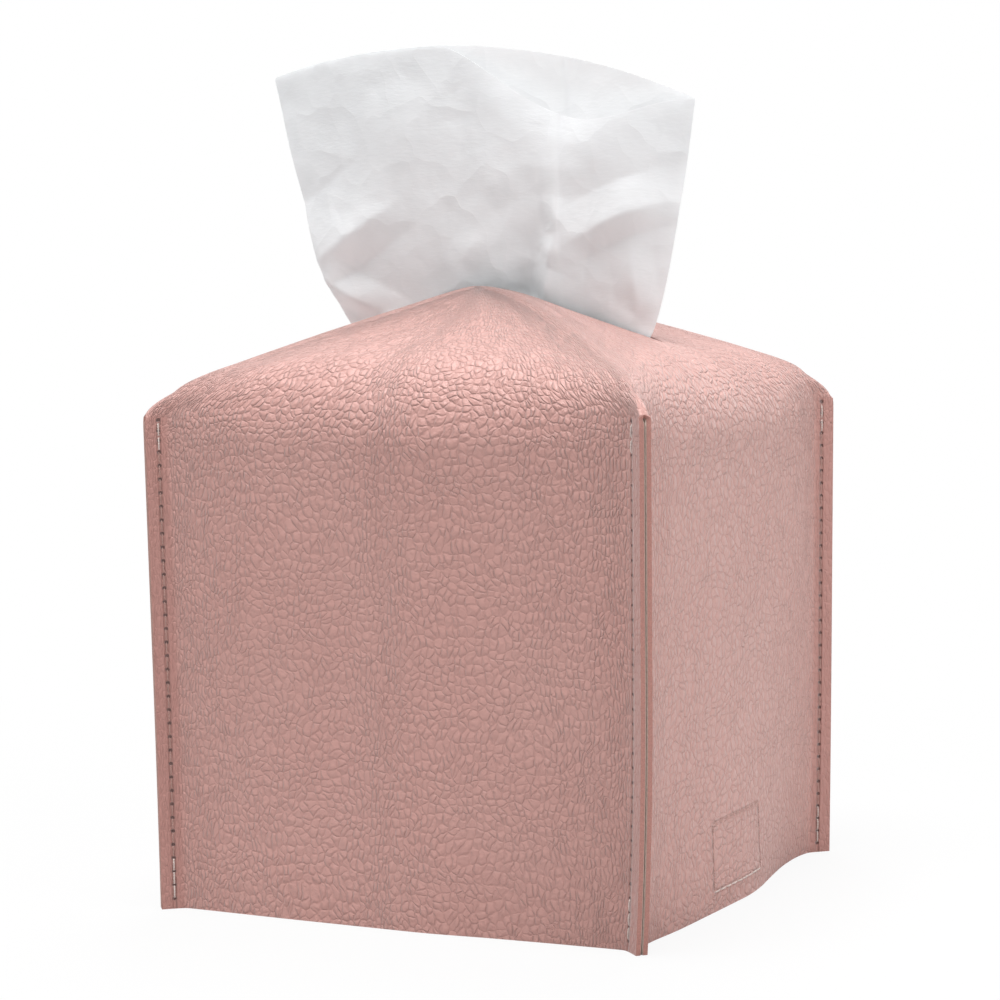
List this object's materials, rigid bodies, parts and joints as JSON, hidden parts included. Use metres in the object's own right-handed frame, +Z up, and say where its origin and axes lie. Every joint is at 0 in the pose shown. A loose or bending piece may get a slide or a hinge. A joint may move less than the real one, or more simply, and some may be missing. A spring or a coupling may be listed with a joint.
{
  "type": "tissue box cover",
  "caption": "Soft pebbled leather cover for a cube carton of tissues, sewn at its corners, with a peaked roof, a slot for the tissue and a strap that keeps the carton in.",
  "frame": {"origin": "on the table under the middle of the cover", "axes": "+Z up, -Y towards the front wall, +X towards the right wall, the slot runs along X"},
  "size_m": [0.1364, 0.1364, 0.2176],
  "materials": {
    "pink_leather": "pebbled, semi-matt",
    "thread": "twisted",
    "loop_tape": "looped pile",
    "hook_tape": "hooked pile",
    "card": "coated card",
    "film": "clear film",
    "tissue": "soft crepe paper"
  },
  "bodies": {
    "strap": {"bottom_strap": "pink_leather", "left_hook_patch": "hook_tape", "left_hook_thread": "thread", "right_hook_patch": "hook_tape", "right_hook_thread": "thread"},
    "carton": {"slit_film": "film", "tissue_carton": "card", "tissue_pile": "tissue"},
    "cover": {"front_left_seam_thread": "thread", "front_right_seam_thread": "thread", "leather_shell": "pink_leather", "left_loop_patch": "loop_tape", "left_loop_thread": "thread", "rear_left_seam_thread": "thread", "rear_right_seam_thread": "thread", "right_loop_patch": "loop_tape", "right_loop_thread": "thread"},
    "tissue": {"pulled_tissue": "tissue"}
  },
  "joints": [
    {"name": "carton_lift", "type": "slide", "parent": "strap", "child": "carton", "axis": [0, 0, 1], "range_m": [0, 0.03]},
    {"name": "cover_lift", "type": "slide", "parent": "carton", "child": "cover", "axis": [0, 0, 1], "range_m": [0, 0.135]},
    {"name": "tissue_pull", "type": "slide", "parent": "cover", "child": "tissue", "axis": [0, 0, 1], "range_m": [0, 0.06]}
  ]
}
